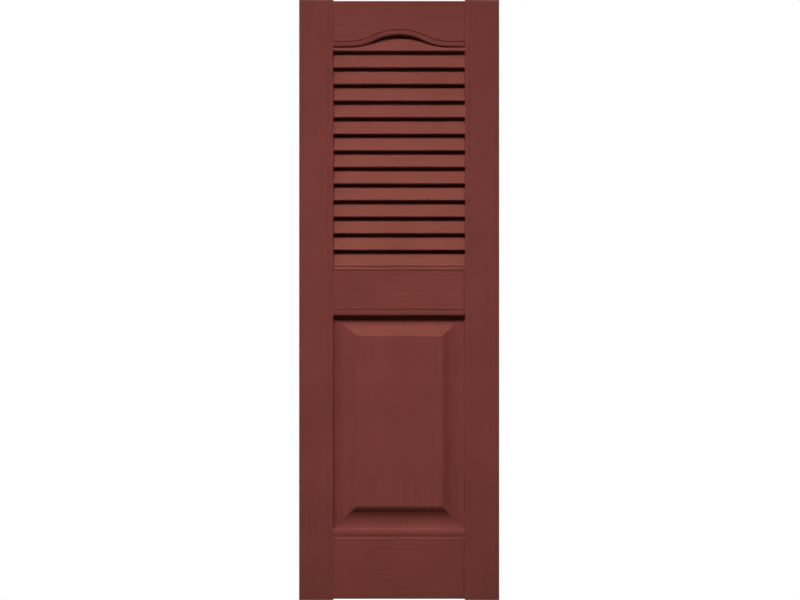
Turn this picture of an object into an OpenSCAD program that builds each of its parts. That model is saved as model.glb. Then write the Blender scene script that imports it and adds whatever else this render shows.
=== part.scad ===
// Exterior shutter moulded in one piece, with an arched top rail over closed louvres and a raised panel.
// X runs across the shutter, Z up it and Y from its face to the wall. The back plane is y = 0.

/* [Overall] */
// Width across both stiles
shutter_w = 304.8; // [290:0.2:360]
// Height from end to end of the stiles
shutter_h = 914.4; // [860:0.2:1100]
// Thickness from the wall to the face of the stiles
shutter_t = 25.4; // [23:0.2:34]
// Thickness of the moulded skin and walls
wall = 2.4; // [1.8:0.1:3]

/* [Frame] */
// Width of each stile
stile_w = 52; // [44:0.2:56]
// Height of the top rail beside the arch
top_rail_h = 70.6; // [50:0.2:90]
// Height of the centre rail
centre_rail_h = 75.2; // [50:0.2:100]
// Height of the bottom rail
bottom_rail_h = 106.7; // [70:0.1:140]
// How far the rails stop short of the ends of the stiles
rail_setback = 2; // [0.5:0.1:4]
// Distance from the edge of an opening to the fine groove on a rail
quirk_offset = 9.2; // [6:0.1:12]
// Distance from the last slat to the fine groove on the centre rail
slat_quirk_offset = 6.2; // [5:0.1:12]
// Distance from the edge of an opening to the fine groove on a stile
stile_quirk_offset = 7.6; // [5:0.1:10]
// Width of the fine grooves
quirk_w = 1.6; // [0.6:0.1:2]
// Depth of the fine groove on a rail
quirk_depth = 0.8; // [0.3:0.1:1.2]
// Depth of the fine groove on a stile
stile_quirk_depth = 0.4; // [0.2:0.1:1]
// Width of the V between a stile and a rail
joint_w = 2.2; // [1:0.1:3]
// Radius of the rails' edges along the openings
edge_round = 3.2; // [1:0.1:4]
// Radius of the outer edges of the stiles
outer_round = 3; // [1:0.1:4]

/* [Arch] */
// Rise of the arch from its flat ends to its crown
arch_rise = 18.4; // [10:0.2:30]
// Radius of the crown at the edge of the opening
crown_r = 82; // [60:1:90]
// Radius of the reverse curve on each side of the crown
reverse_r = 84; // [60:1:90]

/* [Louvres] */
// Number of slats
slat_count = 14; // [10:1:16]
// Height from one slat to the next
slat_pitch = 25.26; // [22:0.02:28]
// Thickness of a slat, which is rounded at its nose
slat_t = 2.2; // [1.6:0.1:2.6]
// How far the noses of the slats lie behind the face
slat_recess = 1.2; // [0.6:0.1:4]
// Lean of the slats from upright, in degrees
slat_lean = 22.8; // [16:0.2:27]
// Fall of the underside of a slat towards its root, as draft for the mould, in degrees
slat_draft = 7; // [2:0.5:12]
// Drop from the flat ends of the arch to the first nose
first_nose_drop = 5.7; // [4:0.1:10]
// How far the edge of the centre rail hides the last nose
nose_lap = 0.3; // [0.2:0.1:1.6]

/* [Panel] */
// Width of the moulded border from the opening to the raised field
border_w = 34; // [30:0.2:44]
// How far the field lies behind the face
field_recess = 0.3; // [0.2:0.1:4]
// Width of the sloping lip around the field
lip_w = 4.6; // [2:0.1:6]
// Slope of the lip in degrees
lip_slope = 33; // [20:1:36]
// Radius of the cove between the lip and the wall of the opening
cove_r = 28.5; // [24:0.5:34]
// Slope of the cove where it meets the lip, in degrees
cove_slope = 39.5; // [37:0.5:46]
// Radius of the fillet from the cove to the wall of the opening
foot_round = 5; // [3:0.5:7]

/* [Back] */
// Thickness of the ribs
rib_t = 2; // [1.4:0.1:2.4]
// Distance between the three upright ribs
rib_spacing = 50; // [40:1:60]
// Distance between the cross ribs in a stile
cross_rib_spacing = 76; // [50:1:120]
// Reach of the cross ribs behind the face
cross_rib_reach = 13; // [8:0.5:18]

/* [Hidden] */
$fn = 96;
vinyl = [0.43, 0.21, 0.19];
// Overshoot of a cut past the face that it opens
cut_over = 1;
// Depth that a joining piece runs into a wall
seat = wall / 2;
// Growth of an arc past the line that it blends into, so that the two cross
arc_over = 0.05;
// The same for the cuts that round the arch, and the angle that they run on past where they blend
blend_over = 0.1;
run_on = 4;

half_w = shutter_w / 2;
half_h = shutter_h / 2;
opening_w = shutter_w - 2 * stile_w;
opening_half = opening_w / 2;
rail_end = half_h - rail_setback;

// Heights of the rails' edges and of the slats
arch_z = rail_end - top_rail_h;
first_nose = arch_z - first_nose_drop;
last_nose = first_nose - (slat_count - 1) * slat_pitch;
centre_top = last_nose + nose_lap;
centre_bottom = centre_top - centre_rail_h;
bottom_top = bottom_rail_h - rail_end;
panel_h = centre_bottom - bottom_top;
panel_z = (centre_bottom + bottom_top) / 2;

// The crown and the reverse curves turn through the same angle
arch_turn = acos(1 - arch_rise / (crown_r + reverse_r));
crown_z = arch_z + arch_rise - crown_r;
reverse_z = arch_z + reverse_r;
arch_half = (crown_r + reverse_r) * sin(arch_turn);

// A slat's nose is an arc that turns from its face to its underside
nose_r = slat_t / 2;
nose_steps = 6;
nose_turn = 90 + slat_lean - slat_draft;
lean_rate = tan(slat_lean);
fall_rate = tan(slat_draft);
slat_skin = slat_t / cos(slat_lean);

// Where a slat's face and underside would meet without the nose, from the nose's front and foot
face_depth = nose_r - nose_r / cos(slat_lean) - nose_r * lean_rate;
under_level = nose_r - nose_r / cos(slat_draft) + nose_r * fall_rate;

// Depths and widths along the border of the panel
lip_drop = lip_w * tan(lip_slope);
cove_w = cove_r * sin(cove_slope);
cove_drop = cove_r * (1 - cos(cove_slope));
lip_foot = field_recess + lip_drop;
border_depth = lip_foot + cove_drop;
cove_inset = border_w - lip_w - cove_w;
foot_depth = border_depth - cove_r + sqrt(cove_r * cove_r - pow(cove_inset - foot_round, 2));

cross_rib_count = floor((shutter_h - 2 * wall) / cross_rib_spacing / 2);

// Places a flat outline, drawn across X and Z, between two depths behind the face
module plate(from, to) {
    translate([0, to - shutter_t, 0])
        rotate([90, 0, 0])
            linear_extrude(to - from)
                children();
}

// Runs a section, drawn as depth behind the face and height, across the shutter
module run_across(length) {
    translate([0, -shutter_t, 0])
        rotate([90, 0, 90])
            linear_extrude(length, center = true)
                children();
}

// Runs a section, drawn across X and by depth behind the face, up the shutter
module run_up(length) {
    translate([0, -shutter_t, 0])
        linear_extrude(length, center = true)
            children();
}

// A rectangle between two heights, centred across the shutter
module band(width, low, high) {
    translate([-width / 2, low])
        square([width, high - low]);
}

module outline() {
    band(opening_w, -rail_end, rail_end);
    stile_outline(0);
}

module stile_outline(inset) {
    for (side = [-1, 1])
        translate([side * (half_w - stile_w / 2), 0])
            square([stile_w - 2 * inset, shutter_h - 2 * inset], center = true);
}

// The space under the arch down to a level, grown outwards by an offset
module under_arch(grow, low) {
    crown = crown_r + grow;
    reverse = reverse_r - grow;
    flat_z = arch_z + grow;
    foot_z = flat_z - cut_over;
    bend_x = crown * sin(arch_turn);
    bend_z = crown_z + crown * cos(arch_turn);
    band(opening_w, low, flat_z);
    difference() {
        union() {
            polygon([[-arch_half, foot_z], [arch_half, foot_z], [bend_x, bend_z], [-bend_x, bend_z]]);
            intersection() {
                translate([0, crown_z])
                    circle(crown + arc_over);
                band(2 * arch_half, foot_z, crown_z + crown + cut_over);
            }
        }
        for (side = [-1, 1])
            translate([side * arch_half, reverse_z])
                circle(reverse + arc_over);
    }
}

module panel_opening() {
    band(opening_w, bottom_top, centre_bottom);
}

// The hollow backs of the three rails, inset from their edges
module rail_hollows(inset) {
    difference() {
        band(opening_w, arch_z + inset, rail_end - inset);
        under_arch(inset, arch_z);
    }
    band(opening_w, centre_bottom + inset, centre_top - inset);
    band(opening_w, inset - rail_end, bottom_top - inset);
}

// The zigzag line of the slats, a share of the slat's thickness behind its face
function zigzag(share) = [
    for (k = [0 : slat_count - 1])
        for (reach = [0, slat_pitch])
            let (
                lift = under_level + share * slat_t,
                lean = face_depth + share * slat_skin + (reach + lift) * lean_rate,
                back = lean / (1 + lean_rate * fall_rate)
            )
            [slat_recess + back, first_nose - k * slat_pitch + lift - back * fall_rate]
];

// The rounded nose of a slat, from its face to its underside
function nose_arc(k) =
    let (centre = [slat_recess + nose_r, first_nose - k * slat_pitch + nose_r])
    [
        for (i = [0 : nose_steps])
            let (angle = 180 - slat_lean + nose_turn * i / nose_steps)
            centre + nose_r * [cos(angle), sin(angle)]
    ];

// The faces of the slats, each from its nose to the root of the next
slat_faces = [
    for (k = [0 : slat_count - 1])
        each concat(nose_arc(k), [zigzag(0)[2 * k + 1]])
];

// The top of the first slat runs on behind the arch
function slat_top(share) =
    let (rise = first_nose_drop + arch_rise + wall)
    [slat_recess + face_depth + share * slat_skin + rise * lean_rate, first_nose + rise];

function reversed(points) = [for (i = [len(points) - 1 : -1 : 0]) points[i]];

module louvre_section() {
    polygon(concat([slat_top(0)], slat_faces, reversed(zigzag(1)), [slat_top(1)]));
}

// All that lies behind the middle of the slats' skin, for the ribs
module louvre_rib_section() {
    middle = zigzag(0.5);
    foot = middle[len(middle) - 1];
    polygon(concat(
        [slat_top(0.5)],
        middle,
        [[shutter_t, foot[1]], [shutter_t, slat_top(0)[1]]]
    ));
}

module louvres() {
    intersection() {
        union() {
            run_across(opening_w + 2 * seat)
                louvre_section();
            for (side = [-1, 0, 1])
                translate([side * rib_spacing, 0, 0])
                    run_across(rib_t)
                        louvre_rib_section();
        }
        plate(0, shutter_t)
            union() {
                under_arch(seat, centre_top - seat);
                band(opening_w + 2 * seat, centre_top - seat, arch_z + seat);
            }
    }
}

// Half of the panel's section, from its middle to the wall of the opening, sunk below its face
module half_panel_section(half_span, sink) {
    field_x = half_span - border_w;
    lip_x = field_x + lip_w;
    cove_x = lip_x + cove_w;
    edge_x = half_span + seat;
    field_depth = field_recess + sink;
    turn_x = field_x - sink * tan(lip_slope / 2);
    lip_end_x = lip_x + cut_over;
    lip_end_depth = field_depth + (lip_end_x - turn_x) * tan(lip_slope);
    difference() {
        polygon([
            [-seat, field_depth],
            [turn_x, field_depth],
            [lip_end_x, lip_end_depth],
            [edge_x, lip_end_depth],
            [edge_x, shutter_t],
            [-seat, shutter_t]
        ]);
        translate([cove_x, border_depth - cove_r])
            circle(cove_r + sink + arc_over);
    }
    translate([half_span - foot_round, foot_depth - foot_round])
        foot_section(sink);
}

// The fillet at the foot of the cove, drawn about its centre, which starts below the surface of the cove
module foot_section(sink) {
    start = foot_round / 5;
    difference() {
        translate([start, 0])
            square([foot_round + seat - start, shutter_t - foot_depth + foot_round]);
        circle(foot_round + sink + arc_over);
    }
}

module both_halves() {
    children();
    mirror([1, 0, 0])
        children();
}

// Turns a section drawn across X into one drawn up Z, about the middle of the panel
module upright() {
    translate([0, panel_z])
        mirror([1, -1])
            children();
}

// The raised panel as a full block back to the wall: where its two sections meet, its corners are mitred
module panel_block(sink) {
    intersection() {
        translate([0, 0, panel_z])
            run_up(panel_h + 2 * seat)
                both_halves()
                    half_panel_section(opening_half, sink);
        run_across(opening_w + 2 * seat)
            upright()
                both_halves()
                    half_panel_section(panel_h / 2, sink);
    }
}

module panel() {
    difference() {
        panel_block(0);
        panel_block(wall);
    }
    intersection() {
        panel_block(seat);
        plate(0, shutter_t)
            rib_lines();
    }
}

// The three upright ribs, seen from the front
module rib_lines() {
    for (side = [-1, 0, 1])
        translate([side * rib_spacing, 0])
            square([rib_t, shutter_h], center = true);
}

module rail_ribs() {
    plate(seat, shutter_t)
        intersection() {
            rail_hollows(seat);
            rib_lines();
        }
}

module cross_ribs() {
    for (side = [-1, 1])
        for (k = [-cross_rib_count : cross_rib_count])
            plate(seat, cross_rib_reach)
                translate([side * (half_w - stile_w / 2), k * cross_rib_spacing])
                    square([stile_w - 2 * seat, rib_t], center = true);
}

// The fine grooves along the whole height of the stiles
module stile_quirks() {
    for (side = [-1, 1])
        translate([side * (opening_half + stile_quirk_offset), 0])
            square([quirk_w, shutter_h + 2 * cut_over], center = true);
}

// The fine grooves on the rails, which follow the openings
module rail_quirks() {
    for (level = [centre_top - slat_quirk_offset, centre_bottom + quirk_offset, bottom_top - quirk_offset])
        translate([0, level])
            square([opening_w, quirk_w], center = true);
    difference() {
        under_arch(quirk_offset + quirk_w / 2, arch_z);
        under_arch(quirk_offset - quirk_w / 2, arch_z - cut_over);
    }
}

// What is cut away to round an edge that lies at the origin, with the material to the right and above
module corner_section(radius) {
    difference() {
        translate([-cut_over, -cut_over])
            square(radius + cut_over);
        translate([radius, radius])
            circle(radius + arc_over);
    }
}

// Turns a section, drawn by its distance from a point on the face and its height over the face
module turn_about(x, z, from, angle) {
    translate([x, -shutter_t, z])
        rotate([90, 0, 0])
            rotate(from)
                rotate_extrude(angle = angle)
                    children();
}

// Rounds the edge of the arch: its crown, its reverse curves and its flat ends cross where they blend
module arch_rounding() {
    flat_start = arch_half - reverse_r * sin(run_on);
    both_halves() {
        turn_about(0, crown_z, 90, arch_turn + run_on)
            translate([crown_r + blend_over, 0])
                mirror([0, 1])
                    corner_section(edge_round);
        turn_about(-arch_half, reverse_z, 270, arch_turn)
            translate([reverse_r + blend_over, 0])
                rotate(180)
                    corner_section(edge_round);
        translate([-(opening_half + flat_start) / 2, 0, 0])
            run_across(opening_half - flat_start)
                translate([0, arch_z])
                    corner_section(edge_round);
    }
}

// Rounds the straight edges of the rails along the openings
module rail_rounding() {
    run_across(opening_w) {
        translate([0, centre_bottom])
            corner_section(edge_round);
        for (level = [centre_top, bottom_top])
            translate([0, level])
                mirror([0, 1])
                    corner_section(edge_round);
    }
}

// Rounds the outer edges of the stiles
module stile_rounding() {
    run_up(shutter_h + 2 * cut_over)
        both_halves()
            translate([-half_w, 0])
                corner_section(outer_round);
}

// The V where the rails meet the stiles
module joint_section() {
    half_joint = joint_w / 2;
    for (side = [-1, 1])
        translate([side * opening_half, 0])
            polygon([
                [0, half_joint],
                [-half_joint - cut_over, -cut_over],
                [half_joint + cut_over, -cut_over]
            ]);
}

module frame() {
    difference() {
        plate(0, shutter_t)
            outline();
        plate(wall, shutter_t + cut_over) {
            stile_outline(wall);
            rail_hollows(wall);
        }
        plate(-cut_over, shutter_t + cut_over) {
            under_arch(0, centre_top);
            panel_opening();
        }
        plate(-cut_over, quirk_depth)
            rail_quirks();
        plate(-cut_over, stile_quirk_depth)
            stile_quirks();
        run_up(shutter_h + 2 * cut_over)
            joint_section();
        arch_rounding();
        rail_rounding();
        stile_rounding();
    }
}

module shutter() {
    color(vinyl) {
        frame();
        louvres();
        panel();
        rail_ribs();
        cross_ribs();
    }
}

shutter();
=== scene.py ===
"""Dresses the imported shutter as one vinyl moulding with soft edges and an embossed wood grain."""
import itertools
import math

import bmesh
import bpy
import numpy as np
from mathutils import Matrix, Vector


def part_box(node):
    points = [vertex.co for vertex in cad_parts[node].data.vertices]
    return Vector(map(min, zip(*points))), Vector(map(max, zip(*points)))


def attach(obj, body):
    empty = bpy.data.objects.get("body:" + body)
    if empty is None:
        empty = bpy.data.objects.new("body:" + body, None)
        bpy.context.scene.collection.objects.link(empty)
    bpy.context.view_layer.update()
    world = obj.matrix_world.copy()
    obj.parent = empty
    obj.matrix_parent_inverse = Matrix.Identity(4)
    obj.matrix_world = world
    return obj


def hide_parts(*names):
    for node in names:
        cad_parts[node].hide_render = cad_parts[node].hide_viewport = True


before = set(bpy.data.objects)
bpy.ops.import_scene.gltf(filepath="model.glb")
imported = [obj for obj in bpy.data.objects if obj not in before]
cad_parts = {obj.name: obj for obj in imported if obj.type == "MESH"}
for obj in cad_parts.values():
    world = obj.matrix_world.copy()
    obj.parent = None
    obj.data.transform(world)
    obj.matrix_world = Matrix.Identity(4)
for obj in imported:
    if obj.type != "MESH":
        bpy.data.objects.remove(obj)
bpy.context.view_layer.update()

# Sizes in millimetres. Depth is measured from the face of the stiles towards the wall.
MM = 0.001
low_corner, high_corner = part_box("shutter")
HALF_W = high_corner.x / MM
HALF_H = high_corner.z / MM
THICK = -low_corner.y / MM
WALL = 2.4
SEAT = WALL / 2
STILE_W = 52
TOP_RAIL_H = 70.6
CENTRE_RAIL_H = 75.2
BOTTOM_RAIL_H = 106.7
RAIL_SETBACK = 2
OPENING_HALF = HALF_W - STILE_W
RAIL_END = HALF_H - RAIL_SETBACK
ARCH_Z = RAIL_END - TOP_RAIL_H

# Fine grooves beside the openings: distance from the edge, half widths at face and floor, and depth
ARCH_QUIRK = (8.5, 0.9, 0.6, 1.2)
CENTRE_QUIRK = (9.2, 0.8, 0.6, 0.9)
SLAT_QUIRK = (6.2, 0.8, 0.6, 0.9)
BOTTOM_QUIRK = (12.2, 3.4, 0.2, 0.9)
STILE_QUIRK = (7.6, 0.8, 0.2, 0.4)

# The V between stiles and rails, and the roundings of the edges
JOINT_HALF = 1.1
JOINT_DEPTH = 0.9
EDGE_ROUND = 3.2
ARCH_ROUND = 3.7
BOTTOM_ROUND = 5
STILE_ROUND = 0.6
OUTER_ROUND = 3
END_ROUND = 1
QUIRK_ROUND = 0.15
STRIP_FALL = 0.3

# The arch, whose crown and reverse curves turn through the same angle
ARCH_RISE = 18.4
CROWN_R = 82
REVERSE_R = 84
ARCH_TURN = math.acos(1 - ARCH_RISE / (CROWN_R + REVERSE_R))
CROWN_Z = ARCH_Z + ARCH_RISE - CROWN_R
ARCH_BEND = CROWN_R * math.sin(ARCH_TURN)
ARCH_HALF = (CROWN_R + REVERSE_R) * math.sin(ARCH_TURN)

# The slats, with the line of their faces and undersides measured from the front and foot of a nose
SLAT_COUNT = 14
SLAT_PITCH = 25.26
SLAT_RECESS = 1.2
SLAT_LEAN = math.radians(22.8)
SLAT_DRAFT = math.radians(7)
LEAN_RATE = math.tan(SLAT_LEAN)
FALL_RATE = math.tan(SLAT_DRAFT)
NOSE_R = 1.1
NOSE_ROUND = 1.2
ROOT_ROUND = 0.6
SLAT_FILLET = 1.5
FACE_DEPTH = NOSE_R * (1 - 1 / math.cos(SLAT_LEAN) - LEAN_RATE)
UNDER_LEVEL = NOSE_R * (1 - 1 / math.cos(SLAT_DRAFT) + FALL_RATE)
FIRST_NOSE_DROP = 5.7
NOSE_LAP = 0.3
FIRST_NOSE = ARCH_Z - FIRST_NOSE_DROP
LAST_NOSE = FIRST_NOSE - (SLAT_COUNT - 1) * SLAT_PITCH
CENTRE_TOP = LAST_NOSE + NOSE_LAP
CENTRE_BOTTOM = CENTRE_TOP - CENTRE_RAIL_H
BOTTOM_TOP = BOTTOM_RAIL_H - RAIL_END

# The raised panel: a cove from the wall of the opening, a lip and the field, as at the foot of the panel
PANEL_Z = (CENTRE_BOTTOM + BOTTOM_TOP) / 2
PANEL_HALF_H = (CENTRE_BOTTOM - BOTTOM_TOP) / 2
BORDER_W = 34
FIELD_RECESS = 0.3
LIP_W = 4.6
LIP_SLOPE = math.radians(28)
COVE_R = 29.5
COVE_SLOPE = math.radians(43)
FOOT_ROUND = 3
COVE_W = COVE_R * math.sin(COVE_SLOPE)
LIP_FOOT = FIELD_RECESS + LIP_W * math.tan(LIP_SLOPE)
BORDER_DEPTH = LIP_FOOT + COVE_R * (1 - math.cos(COVE_SLOPE))

# The widths of the border at the top and the sides, and what share they are of the width at the foot
TOP_BORDER_W = 30.4
SIDE_BORDER_W = 35.5
TOP_BORDER_SHARE = TOP_BORDER_W / BORDER_W
SIDE_BORDER_SHARE = SIDE_BORDER_W / BORDER_W

# Embossed grain: its relief, the drift of its lines, and the shares and sizes of broad and fine lines
GRAIN_DEPTH = 0.16
DRIFT = 5
DRIFT_WIDTH = 70
DRIFT_LENGTH = 150
BROAD_SHARE = 1.2
BROAD_WIDTH = 3.4
BROAD_LENGTH = 130
FINE_SHARE = 0.8
FINE_WIDTH = 1.7
FINE_LENGTH = 45

# A seed for the grain of each sub-part
SEEDS = {
    "left_stile": 6,
    "right_stile": 8,
    "top_rail": 18,
    "centre_rail": 20,
    "bottom_rail": 24,
    "louvres": 26,
    "panel": 30,
}

# Large odd numbers that scramble the places of the noise's grid, and masks for its low bits
MIX_I = 374761393
MIX_J = 668265263
MIX_SEED = 974634777
MIX_LAST = 1274126177
LOW_32 = 0xFFFFFFFF
LOW_16 = 0xFFFF

# Spacing of the mesh across and along the grain, at the edges of the field and along the arch
GRAIN_STEP = 0.9
GRAIN_RUN = 8
EDGE_STEP = 0.5
ARCH_STEP = 2.5

# How finely roundings are drawn, and how much of a side and of the wall behind an edge they take
CORNER_STEPS = 6
EDGE_POINTS = 6
END_POINTS = 5
FOOT_POINTS = 8
CORNER_ROOM = 0.8
WALL_RADII = 3

# Points closer than these are one point, in the copy of the solid and in the finished mesh
WELD = 0.001
SLIVER = 0.003

# Edges that turn by more than this stay crisp
CRISP_ANGLE = math.radians(21)

# Places of the finishes in their list
STILE, ACROSS, PANEL, PLAIN = range(4)


# Lines and noise
def round_corners(corners):
    """Points along a line whose corners are given as (a, b, radius); its two ends stay as they are."""
    points = [corners[0][:2]]
    for before, corner, after in zip(corners, corners[1:], corners[2:]):
        here = np.array(corner[:2], float)
        back = np.array(before[:2]) - here
        ahead = np.array(after[:2]) - here
        room = CORNER_ROOM * min(np.linalg.norm(back), np.linalg.norm(ahead))
        back = back / np.linalg.norm(back)
        ahead = ahead / np.linalg.norm(ahead)
        half_angle = math.acos(np.clip(back @ ahead, -1, 1)) / 2
        reach = min(corner[2] / math.tan(half_angle), room)
        radius = reach * math.tan(half_angle)
        middle = (back + ahead) / np.linalg.norm(back + ahead)
        centre = here + middle * radius / math.sin(half_angle)
        for share in np.linspace(0, 1, CORNER_STEPS + 1):
            arm = here + reach * (back * (1 - share) + ahead * share) - centre
            points.append(centre + arm / np.linalg.norm(arm) * radius)
    points.append(corners[-1][:2])
    return np.array(points)


def refine(points, step):
    """The same line with points no further apart than a step, give or take a rounding error."""
    finer = [points[0]]
    for start, end in zip(points, points[1:]):
        pieces = max(1, math.ceil(np.linalg.norm(end - start) / step - 1e-6))
        finer += [start + (end - start) * (i + 1) / pieces for i in range(pieces)]
    return np.array(finer)


def with_round_ends(low, high, step, radius):
    """Places from low to high, close together at both ends where an edge is rounded."""
    inset = radius * (1 - np.cos(np.linspace(0, math.pi / 2, END_POINTS)))
    count = math.ceil((high - low - 2 * radius) / step)
    middle = np.linspace(low + radius, high - radius, count + 1)
    return np.concatenate([low + inset[:-1], middle, (high - inset[:-1])[::-1]])


def round_fall(distance, radius):
    """How far a rounded edge lies below its face at a distance from the edge."""
    near = np.clip(radius - distance, 0, radius)
    return radius - np.sqrt(radius * radius - near * near)


def scatter(i, j, seed):
    """A repeatable number from 0 to 1 for each cell of a grid."""
    mixed = (i * MIX_I + j * MIX_J + seed * MIX_SEED) & LOW_32
    mixed = ((mixed ^ (mixed >> 13)) * MIX_LAST) & LOW_32
    return ((mixed ^ (mixed >> 16)) & LOW_16) / LOW_16


def smooth_noise(u, v, seed):
    """Smooth noise from -0.5 to 0.5 with cells one unit wide."""
    i = np.floor(u).astype(np.int64)
    j = np.floor(v).astype(np.int64)
    a = u - i
    b = v - j
    a = a * a * (3 - 2 * a)
    b = b * b * (3 - 2 * b)
    near = scatter(i, j, seed) * (1 - a) + scatter(i + 1, j, seed) * a
    far = scatter(i, j + 1, seed) * (1 - a) + scatter(i + 1, j + 1, seed) * a
    return near * (1 - b) + far * b - 0.5


def grain(across, along, seed):
    """Height of the embossed wood grain, in millimetres, with lines that wander along their length."""
    drift = DRIFT * smooth_noise(along / DRIFT_LENGTH, across / DRIFT_WIDTH, seed)
    line = across + drift
    broad = smooth_noise(line / BROAD_WIDTH, along / BROAD_LENGTH, seed + 1)
    fine = smooth_noise(line / FINE_WIDTH, along / FINE_LENGTH, seed + 2)
    return GRAIN_DEPTH * (BROAD_SHARE * broad + FINE_SHARE * fine)


# Meshes
def place(name, data):
    """A new object in the scene."""
    made = bpy.data.objects.new(name, data)
    bpy.context.scene.collection.objects.link(made)
    return made


def make_object(name, points, faces, finish):
    """A closed mesh from (x, depth, z) points in millimetres, all in one of the finishes."""
    places = np.array(points, float).reshape(-1, 3) - (0, THICK, 0)
    mesh = bpy.data.meshes.new(name)
    mesh.from_pydata((places * MM).tolist(), [], faces)
    shell = bmesh.new()
    shell.from_mesh(mesh)
    bmesh.ops.recalc_face_normals(shell, faces=shell.faces)
    shell.to_mesh(mesh)
    shell.free()
    for material in finishes:
        mesh.materials.append(material)
    mesh.polygons.foreach_set("material_index", [finish] * len(mesh.polygons))
    return place(name, mesh)


def loft(name, rings, finish):
    """A solid through a row of rings, closed at both ends."""
    count, size = rings.shape[:2]
    start = np.arange(count - 1)[:, None] * size
    here = start + np.arange(size)
    beside = start + (np.arange(size) + 1) % size
    sides = np.stack([here, beside, beside + size, here + size], axis=-1).reshape(-1, 4)
    last = (count - 1) * size
    caps = [list(range(size)), list(range(last, last + size))]
    return make_object(name, rings, sides.tolist() + caps, finish)


def down_to_wall(front):
    """Rings from rows of points on the front, with a point on the wall before and after each row."""
    first = front[:, :1].copy()
    last = front[:, -1:].copy()
    first[..., 1] = THICK
    last[..., 1] = THICK
    return np.concatenate([first, front, last], axis=1)


def box(name, low, high):
    """A plain block between two (x, depth, z) corners."""
    corners = list(itertools.product(*zip(low, high)))
    faces = [(0, 1, 3, 2), (4, 5, 7, 6), (0, 1, 5, 4), (2, 3, 7, 6), (0, 2, 6, 4), (1, 3, 7, 5)]
    return make_object(name, corners, faces, PLAIN)


def combine(piece, other, operation):
    """Joins another solid to a piece, or cuts it out, and removes the other."""
    modifier = piece.modifiers.new("combine", "BOOLEAN")
    modifier.operation = operation
    modifier.solver = "MANIFOLD"
    modifier.object = other
    graph = bpy.context.evaluated_depsgraph_get()
    result = bpy.data.meshes.new_from_object(piece.evaluated_get(graph))
    piece.modifiers.clear()
    piece.data = result
    bpy.data.objects.remove(other)


# Stiles and rails, each a solid that runs back to the wall
def sticking_line(quirk, radius):
    """Section of the moulded edge of an opening: distance from the opening, and depth."""
    offset, half_width, half_floor, depth = quirk
    far = offset + half_width
    return round_corners([
        (0, WALL_RADII * radius, 0),
        (0, STRIP_FALL, radius),
        (offset - half_width, 0, QUIRK_ROUND),
        (offset - half_floor, depth, QUIRK_ROUND),
        (offset + half_floor, depth, QUIRK_ROUND),
        (far, 0, QUIRK_ROUND),
        (far + half_width, 0, 0),
    ])


def round_line(radius):
    """Section of a plain rounded edge: distance from the edge, and depth."""
    turn = np.linspace(0, math.pi / 2, EDGE_POINTS)
    return np.stack([radius * (1 - np.cos(turn)), radius * (1 - np.sin(turn))], axis=-1)


def front_share(depth):
    """One on the face, falling to nothing on the walls behind it."""
    return np.clip(1 - depth / EDGE_ROUND, 0, 1)


def stile(name, side):
    """A stile, on the right for side 1 and on the left for side -1."""
    inner = sticking_line(STILE_QUIRK, STILE_ROUND) + (OPENING_HALF, 0)
    outer = (round_line(OUTER_ROUND) * (-1, 1) + (HALF_W, 0))[::-1]
    front = refine(np.concatenate([inner, outer]), GRAIN_STEP)
    section = np.concatenate([[(OPENING_HALF, THICK)], front, [(HALF_W, THICK)]])
    levels = with_round_ends(-HALF_H, HALF_H, GRAIN_RUN, END_ROUND)
    x, z = np.meshgrid(section[:, 0], levels)
    share = front_share(section[:, 1])
    fall = round_fall(HALF_H - np.abs(z), END_ROUND) - grain(x, z, SEEDS[name])
    depth = np.maximum(section[:, 1] + share * fall, 0)
    return loft(name, np.stack([side * x, depth, z], axis=-1), STILE)


def arch_level(x):
    """Height of the edge of the arch across the shutter."""
    span = np.abs(x)
    crown = CROWN_Z + np.sqrt(np.maximum(CROWN_R ** 2 - span ** 2, 0))
    reach = np.clip(ARCH_HALF - span, 0, REVERSE_R)
    reverse = ARCH_Z + REVERSE_R - np.sqrt(REVERSE_R ** 2 - reach ** 2)
    return np.where(span < ARCH_BEND, crown, reverse)


def arch_slope(x):
    """Slope of the edge of the arch across the shutter."""
    span = np.abs(x)
    crown = -x / np.sqrt(np.maximum(CROWN_R ** 2 - x ** 2, 1))
    reach = np.clip(ARCH_HALF - span, 0, REVERSE_R)
    reverse = -np.sign(x) * reach / np.sqrt(np.maximum(REVERSE_R ** 2 - reach ** 2, 1))
    return np.where(span < ARCH_BEND, crown, reverse)


def straight(level):
    """Height and slope of a straight edge across the shutter."""
    return (lambda x: np.full_like(x, level), lambda x: np.zeros_like(x))


def rail_edge(x, line, level, slope, up):
    """Rows of points along one edge of a rail: its section line, turned to its slope at each place."""
    tilt = slope(x)
    scale = up / np.sqrt(1 + tilt ** 2)
    distance = line[:, 0]
    across = x[:, None] - (tilt * scale)[:, None] * distance
    height = level(x)[:, None] + scale[:, None] * distance
    depth = np.broadcast_to(line[:, 1], across.shape)
    return np.stack([across, depth, height], axis=-1)


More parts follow.
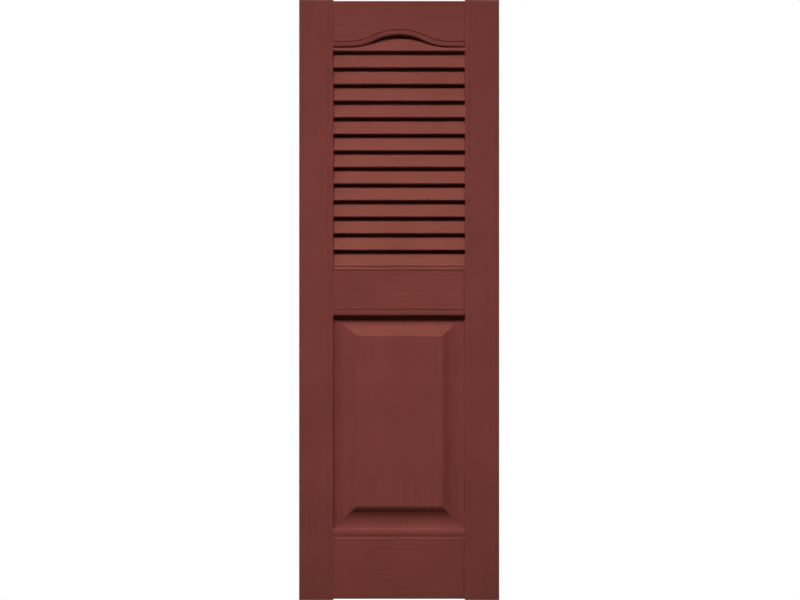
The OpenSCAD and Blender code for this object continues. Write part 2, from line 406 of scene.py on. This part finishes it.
def rail(name, lower, upper, step):
    """A rail between two edges, each a section line with functions for its height and slope."""
    reach = OPENING_HALF + SEAT
    inner = OPENING_HALF - JOINT_HALF
    ends = np.array([reach, OPENING_HALF, OPENING_HALF - JOINT_HALF / 2, inner])
    middle = np.linspace(-inner, inner, math.ceil(2 * inner / step) + 1)[1:-1]
    x = np.concatenate([-ends, middle, ends[::-1]])
    low = rail_edge(x, *lower, up=1)
    high = rail_edge(x, *upper, up=-1)[:, ::-1]
    gap = (high[:, 0, 2] - low[:, -1, 2]).max()
    share = np.linspace(0, 1, math.ceil(gap / GRAIN_STEP) + 1)[1:-1, None]
    face = low[:, None, -1] * (1 - share) + high[:, None, 0] * share
    front = np.concatenate([low, face, high], axis=1)
    joint = np.clip(np.abs(front[..., 0]) - inner, 0, JOINT_HALF)
    fall = joint * JOINT_DEPTH / JOINT_HALF - grain(front[..., 2], front[..., 0], SEEDS[name])
    front[..., 1] = np.maximum(front[..., 1] + front_share(front[..., 1]) * fall, 0)
    return loft(name, down_to_wall(front), ACROSS)


def rails():
    """The top, centre and bottom rails."""
    arched = (sticking_line(ARCH_QUIRK, ARCH_ROUND), arch_level, arch_slope)
    over_panel = (sticking_line(CENTRE_QUIRK, EDGE_ROUND), *straight(CENTRE_BOTTOM))
    by_slat = (sticking_line(SLAT_QUIRK, EDGE_ROUND), *straight(CENTRE_TOP))
    under_panel = (sticking_line(BOTTOM_QUIRK, BOTTOM_ROUND), *straight(BOTTOM_TOP))
    top = (round_line(END_ROUND), *straight(RAIL_END))
    foot = (round_line(END_ROUND), *straight(-RAIL_END))
    return [
        rail("top_rail", arched, top, ARCH_STEP),
        rail("centre_rail", over_panel, by_slat, GRAIN_RUN),
        rail("bottom_rail", foot, under_panel, GRAIN_RUN),
    ]


# Louvres
def slat_corner(nose, reach):
    """Where a slat's underside meets its own face, or with a pitch as reach the face of the next slat."""
    back = (FACE_DEPTH + (reach + UNDER_LEVEL) * LEAN_RATE) / (1 + LEAN_RATE * FALL_RATE)
    return (SLAT_RECESS + back, nose + UNDER_LEVEL - back * FALL_RATE)


def louvres():
    """The closed slats, as one zigzag block whose first face runs on behind the arch."""
    rise = FIRST_NOSE_DROP + ARCH_RISE + WALL
    corners = [(SLAT_RECESS + FACE_DEPTH + rise * LEAN_RATE, FIRST_NOSE + rise, 0)]
    for k in range(SLAT_COUNT):
        nose = FIRST_NOSE - k * SLAT_PITCH
        corners.append((*slat_corner(nose, 0), NOSE_ROUND))
        corners.append((*slat_corner(nose, SLAT_PITCH), ROOT_ROUND))
    line = refine(round_corners(corners), GRAIN_STEP)
    reach = OPENING_HALF + SEAT
    between_walls = with_round_ends(-OPENING_HALF, OPENING_HALF, GRAIN_RUN, SLAT_FILLET)
    places = np.concatenate([[-reach], between_walls, [reach]])
    x, depth = np.meshgrid(places, line[:, 0], indexing="ij")
    share = np.clip((depth - SLAT_RECESS) / SLAT_FILLET, 0, 1)
    depth = depth - share * round_fall(np.maximum(OPENING_HALF - np.abs(x), 0), SLAT_FILLET)
    z = np.broadcast_to(line[:, 1], x.shape)
    depth = depth - grain(z, x, SEEDS["louvres"])
    return loft("louvres", down_to_wall(np.stack([x, depth, z], axis=-1)), ACROSS)


# Raised panel
def panel_line():
    """Places across the border of the panel, from inside the wall of the opening to the raised field."""
    foot = FOOT_ROUND * (1 - np.cos(np.linspace(0, math.pi / 2, FOOT_POINTS)))
    stops = [FOOT_ROUND, BORDER_W - LIP_W, BORDER_W]
    spans = zip(stops, stops[1:])
    line = [np.linspace(a, b, math.ceil((b - a) / GRAIN_STEP) + 1)[1:] for a, b in spans]
    return np.concatenate([[-SEAT], foot, *line])


def cove_depth(inset):
    """Depth of the cove around the panel at a distance from the wall of its opening."""
    beyond = np.clip(inset - (BORDER_W - LIP_W - COVE_W), -COVE_R, COVE_W)
    return BORDER_DEPTH - COVE_R + np.sqrt(COVE_R ** 2 - beyond ** 2)


def panel_depth(inset):
    """Depth of the panel at a distance from the wall: a fillet, a cove, a lip and the raised field."""
    foot = cove_depth(FOOT_ROUND) - round_fall(np.maximum(inset, 0), FOOT_ROUND)
    lip = FIELD_RECESS + (BORDER_W - inset) * math.tan(LIP_SLOPE)
    return np.select(
        [inset >= BORDER_W, inset >= BORDER_W - LIP_W, inset >= FOOT_ROUND],
        [FIELD_RECESS, lip, cove_depth(inset)],
        np.minimum(foot, cove_depth(inset)),
    )


def between(low, high, step):
    """Places across the raised field, with one close to each of its edges."""
    count = math.ceil((high - low - 2 * EDGE_STEP) / step)
    return np.linspace(low + EDGE_STEP, high - EDGE_STEP, count + 1)


def close_grid(top):
    """Points and faces of a solid between a grid and the wall, its cells split along the mitres."""
    columns, rows = top.shape[:2]
    index = np.arange(columns * rows).reshape(columns, rows)
    a, b, c, d = index[:-1, :-1], index[1:, :-1], index[1:, 1:], index[:-1, 1:]
    left_half = np.arange(columns - 1) < (columns - 1) / 2
    lower_half = np.arange(rows - 1) < (rows - 1) / 2
    rising = (left_half[:, None] == lower_half)[..., None]
    first = np.where(rising, np.stack([a, b, c], -1), np.stack([a, b, d], -1))
    second = np.where(rising, np.stack([a, c, d], -1), np.stack([b, c, d], -1))
    rim = np.concatenate([index[:-1, 0], index[-1, :-1], index[:0:-1, -1], index[0, :0:-1]])
    points = top.reshape(-1, 3)
    foot = points[rim].copy()
    foot[:, 1] = THICK
    lower = len(points) + np.arange(len(rim))
    walls = np.stack([rim, np.roll(rim, -1), np.roll(lower, -1), lower], -1)
    cells = np.concatenate([first.reshape(-1, 3), second.reshape(-1, 3)])
    return np.concatenate([points, foot]), cells.tolist() + walls.tolist() + [lower.tolist()]


def panel():
    """The raised panel, a grid whose lines cross on the mitres of its border."""
    border = panel_line()
    left = border * SIDE_BORDER_SHARE - OPENING_HALF
    foot = border - PANEL_HALF_H
    top = PANEL_HALF_H - border * TOP_BORDER_SHARE
    xs = np.concatenate([left, between(left[-1], -left[-1], GRAIN_STEP), -left[::-1]])
    zs = np.concatenate([foot, between(foot[-1], top[-1], GRAIN_RUN), top[::-1]])
    x, z = np.meshgrid(xs, zs, indexing="ij")
    aside = (OPENING_HALF - np.abs(x)) / SIDE_BORDER_SHARE
    above = np.minimum(PANEL_HALF_H + z, (PANEL_HALF_H - z) / TOP_BORDER_SHARE)
    inset = np.minimum(aside, above)
    depth = panel_depth(inset) - grain(x, z, SEEDS["panel"])
    front = np.stack([x, depth, z + PANEL_Z], axis=-1)
    return make_object("panel", *close_grid(front), PANEL)


# Hollow back
def solid_copy(node):
    """A copy of a CAD node's mesh with its split corners welded, in the plain finish."""
    shell = bmesh.new()
    shell.from_mesh(bpy.data.objects[node].data)
    bmesh.ops.remove_doubles(shell, verts=shell.verts, dist=WELD * MM)
    for face in shell.faces:
        face.material_index = PLAIN
    mesh = bpy.data.meshes.new("solid_copy")
    shell.to_mesh(mesh)
    shell.free()
    for material in finishes:
        mesh.materials.append(material)
    return place("solid_copy", mesh)


def keep_behind(piece, level):
    """Keeps only the connected parts of a mesh that reach behind a level."""
    shell = bmesh.new()
    shell.from_mesh(piece.data)
    unseen = set(shell.verts)
    dropped = []
    while unseen:
        group = [unseen.pop()]
        for vertex in group:
            linked = {edge.other_vert(vertex) for edge in vertex.link_edges} & unseen
            unseen -= linked
            group += linked
        if max(vertex.co.y for vertex in group) < level:
            dropped += group
    bmesh.ops.delete(shell, geom=dropped, context="VERTS")
    shell.to_mesh(piece.data)
    shell.free()


def back_space():
    """The space behind the CAD solid; cutting with it leaves the ribs and walls where the solid has them."""
    past = THICK + WALL
    inner = OPENING_HALF + SEAT
    outer = HALF_W - SEAT
    rail_reach = RAIL_END - SEAT
    stile_reach = HALF_H - SEAT
    space = box("back_space", (-inner - SEAT, SEAT, -rail_reach), (inner + SEAT, past, rail_reach))
    right = box("right_space", (inner, SEAT, -stile_reach), (outer, past, stile_reach))
    combine(space, right, "UNION")
    left = box("left_space", (-outer, SEAT, -stile_reach), (-inner, past, stile_reach))
    combine(space, left, "UNION")
    combine(space, solid_copy("shutter"), "DIFFERENCE")
    keep_behind(space, SEAT * MM)
    return space


# The whole moulding
def close_slivers(piece):
    """Splits a mesh into triangles and closes up the slivers that joins and cuts leave behind."""
    shell = bmesh.new()
    shell.from_mesh(piece.data)
    bmesh.ops.triangulate(shell, faces=shell.faces)
    bmesh.ops.remove_doubles(shell, verts=shell.verts, dist=SLIVER * MM)
    shell.to_mesh(piece.data)
    shell.free()


def moulding():
    """All the sub-parts joined, with the hollow back cut out."""
    whole = stile("right_stile", 1)
    for part in [stile("left_stile", -1), *rails(), louvres(), panel()]:
        combine(whole, part, "UNION")
    combine(whole, back_space(), "DIFFERENCE")
    close_slivers(whole)
    whole.name = "moulded_shutter"
    whole.data.name = "moulded_shutter"
    whole.data.shade_smooth()
    whole.data.set_sharp_from_angle(angle=CRISP_ANGLE)
    for face in whole.data.polygons:
        face.use_smooth = face.material_index != PLAIN
    return whole


# Shader nodes
def add(tree, kind, **inputs):
    """A shader node with some of its inputs set or linked."""
    made = tree.nodes.new(kind)
    for name, value in inputs.items():
        socket = made.inputs[name.replace("_", " ")]
        if isinstance(value, bpy.types.NodeSocket):
            tree.links.new(value, socket)
        else:
            socket.default_value = value
    return made


def calculate(tree, operation, first, second):
    """The result of an operation on two values."""
    made = tree.nodes.new("ShaderNodeMath")
    made.operation = operation
    tree.links.new(first, made.inputs[0])
    tree.links.new(second, made.inputs[1])
    return made.outputs[0]


def linear(red, green, blue):
    """A screen colour from 0 to 255 as linear light."""
    def channel(value):
        value /= 255
        return value / 12.92 if value <= 0.04045 else ((value + 0.055) / 1.055) ** 2.4
    return (channel(red), channel(green), channel(blue))


def toned(colour, painted_light):
    """A linear colour made lighter or darker by a factor of painted light, and opaque."""
    return [painted_light * part for part in colour] + [1]


def grey(level):
    """An opaque grey from black at 0 to white at 1."""
    return (level, level, level, 1)


# Materials: the vinyl's colours and gloss, its streaks to the metre, and the painted light that makes rails,
# slats and panel lighter than the stiles
VINYL_DARK = linear(106, 52, 47)
VINYL_LIGHT = linear(114, 57, 52)
VINYL_SHEEN = (1, 0.9, 0.45, 1)
VINYL_SPECULAR = 0.06
STREAKS_ACROSS = 650
STREAKS_ALONG = 22
SPECKS = 160
# Painted light: rails, slats and panel are lighter copies of the same vinyl, standing in for the stronger
# light that falls on them
CROSS_PAINTED_LIGHT = 1.05
PANEL_PAINTED_LIGHT = 1.08


def vinyl(name, streaks, painted_light=1):
    """Low-sheen vinyl, made lighter by a factor of painted light, with fine streaks whose number to the
    metre is given along X, Y and Z.
    """
    material = bpy.data.materials.new(name)
    material.use_nodes = True
    tree = material.node_tree
    shader = tree.nodes["Principled BSDF"]
    where = tree.nodes.new("ShaderNodeTexCoord").outputs["Object"]
    stretched = add(tree, "ShaderNodeMapping", Vector=where, Scale=streaks).outputs["Vector"]
    noise = add(tree, "ShaderNodeTexNoise", Vector=stretched, Scale=1, Detail=3, Roughness=0.6)
    streak = noise.outputs["Fac"]
    cloud = add(tree, "ShaderNodeTexNoise", Vector=where, Scale=14, Detail=2).outputs["Fac"]
    mixed = calculate(tree, "ADD", streak, cloud)
    shade = add(tree, "ShaderNodeMapRange", Value=mixed, From_Min=0.7, From_Max=1.3)
    colour = tree.nodes.new("ShaderNodeMix")
    colour.data_type = "RGBA"
    tree.links.new(shade.outputs["Result"], colour.inputs["Factor"])
    # Painted light: the vinyl's colours scaled lighter for rails, slats and panel
    colour.inputs["A"].default_value = toned(VINYL_DARK, painted_light)
    colour.inputs["B"].default_value = toned(VINYL_LIGHT, painted_light)
    tree.links.new(colour.outputs["Result"], shader.inputs["Base Color"])
    gloss = add(tree, "ShaderNodeMapRange", Value=streak, To_Min=0.46, To_Max=0.58)
    tree.links.new(gloss.outputs["Result"], shader.inputs["Roughness"])
    bump = add(tree, "ShaderNodeBump", Strength=0.35, Distance=0.0001, Height=streak)
    tree.links.new(bump.outputs["Normal"], shader.inputs["Normal"])
    shader.inputs["Specular IOR Level"].default_value = VINYL_SPECULAR
    shader.inputs["Specular Tint"].default_value = VINYL_SHEEN
    return material


upright = (STREAKS_ACROSS, STREAKS_ACROSS, STREAKS_ALONG)
sideways = (STREAKS_ALONG, STREAKS_ACROSS, STREAKS_ACROSS)
finishes = [
    vinyl("vinyl_stile", upright),
    vinyl("vinyl_cross_grain", sideways, CROSS_PAINTED_LIGHT),
    vinyl("vinyl_panel", upright, PANEL_PAINTED_LIGHT),
    vinyl("vinyl_plain", (SPECKS, SPECKS, SPECKS)),
]

shutter = moulding()
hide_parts("shutter")
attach(shutter, "root")


# Stage in metres: a floor, a white surround, and a key, two side and two back lamps
def background_rays(tree):
    """Two values: one for rays from the camera or through a clear surface, and one for reflections."""
    path = tree.nodes.new("ShaderNodeLightPath")
    clear = path.outputs["Is Transmission Ray"]
    return calculate(tree, "MAXIMUM", path.outputs["Is Camera Ray"], clear), path.outputs["Is Glossy Ray"]


def choose(tree, share, lighting, background, output):
    """Gives an output one shader for the rays that light the object, and another for the background."""
    choice = add(tree, "ShaderNodeMixShader", Fac=share)
    tree.links.new(lighting.outputs[0], choice.inputs[1])
    tree.links.new(background.outputs[0], choice.inputs[2])
    tree.links.new(choice.outputs[0], tree.nodes[output].inputs["Surface"])


def floor():
    """A pale floor that ends just in front of the shutter and throws little light on it."""
    half, depth, gap = 4, 8, 0.005
    bottom = low_corner.z
    edge = low_corner.y - gap
    corners = [(-half, -depth, bottom), (half, -depth, bottom), (half, edge, bottom), (-half, edge, bottom)]
    mesh = bpy.data.meshes.new("floor")
    mesh.from_pydata(corners, [], [(0, 1, 2, 3)])
    material = bpy.data.materials.new("pale_floor")
    material.use_nodes = True
    tree = material.node_tree
    tree.nodes.remove(tree.nodes["Principled BSDF"])
    dim = add(tree, "ShaderNodeBsdfDiffuse", Color=grey(0.03))
    pale = add(tree, "ShaderNodeBsdfDiffuse", Color=grey(0.5))
    glow = add(tree, "ShaderNodeEmission", Color=grey(1), Strength=0.6)
    both = tree.nodes.new("ShaderNodeAddShader")
    tree.links.new(pale.outputs[0], both.inputs[0])
    tree.links.new(glow.outputs[0], both.inputs[1])
    share = calculate(tree, "MAXIMUM", *background_rays(tree))
    choose(tree, share, dim, both, "Material Output")
    mesh.materials.append(material)
    place("floor", mesh)


def surround(strength):
    """A white backdrop, also in reflections of what lies behind, and a low even light elsewhere."""
    world = bpy.data.worlds.new("surround")
    bpy.context.scene.world = world
    world.use_nodes = True
    tree = world.node_tree
    backdrop = tree.nodes["Background"]
    backdrop.inputs["Color"].default_value = grey(1)
    backdrop.inputs["Strength"].default_value = 1
    lit = add(tree, "ShaderNodeBackground", Color=grey(1), Strength=strength)
    seen, glossy = background_rays(tree)
    direction = tree.nodes.new("ShaderNodeTexCoord").outputs["Generated"]
    behind = add(tree, "ShaderNodeSeparateXYZ", Vector=direction).outputs["Y"]
    mirrored = calculate(tree, "MULTIPLY", behind, glossy)
    choose(tree, calculate(tree, "MAXIMUM", seen, mirrored), lit, backdrop, "World Output")


def lamp(name, elevation, azimuth, distance, width, height, power, aim=0, spread=180):
    """A softbox placed by its angles above and to the right of the camera, and aimed at a level."""
    data = bpy.data.lights.new(name, "AREA")
    data.shape = "RECTANGLE"
    data.size = width
    data.size_y = height
    data.energy = power
    data.spread = math.radians(spread)
    made = place(name, data)
    rise = math.radians(elevation)
    turn = math.radians(azimuth)
    way = Vector((math.sin(turn) * math.cos(rise), -math.cos(turn) * math.cos(rise), math.sin(rise)))
    made.location = way * distance
    made.rotation_euler = (way * distance - Vector((0, 0, aim))).to_track_quat("Z", "Y").to_euler()


def camera(distance, seen_width, aside, above):
    """Straight on, so that the shutter fills the height of the picture."""
    data = bpy.data.cameras.new("camera")
    data.lens = data.sensor_width * distance / seen_width
    made = place("camera", data)
    made.location = (aside, low_corner.y - distance, above)
    made.rotation_euler = (math.radians(90), 0, 0)
    bpy.context.scene.camera = made


floor()
surround(strength=0.04)
lamp("key", elevation=44, azimuth=-6, distance=3, width=1, height=0.6, power=4.25, aim=-0.17, spread=36)
lamp("left", elevation=35, azimuth=-50, distance=6, width=4, height=1.1, power=150)
lamp("right", elevation=35, azimuth=50, distance=6, width=4, height=1.1, power=75)
lamp("back_left", elevation=25, azimuth=-140, distance=4, width=2, height=2, power=140)
lamp("back_right", elevation=25, azimuth=140, distance=4, width=2, height=2, power=140)
camera(distance=5, seen_width=1.2180, aside=0.0013, above=-0.0001)
bpy.context.scene.view_settings.view_transform = "Standard"
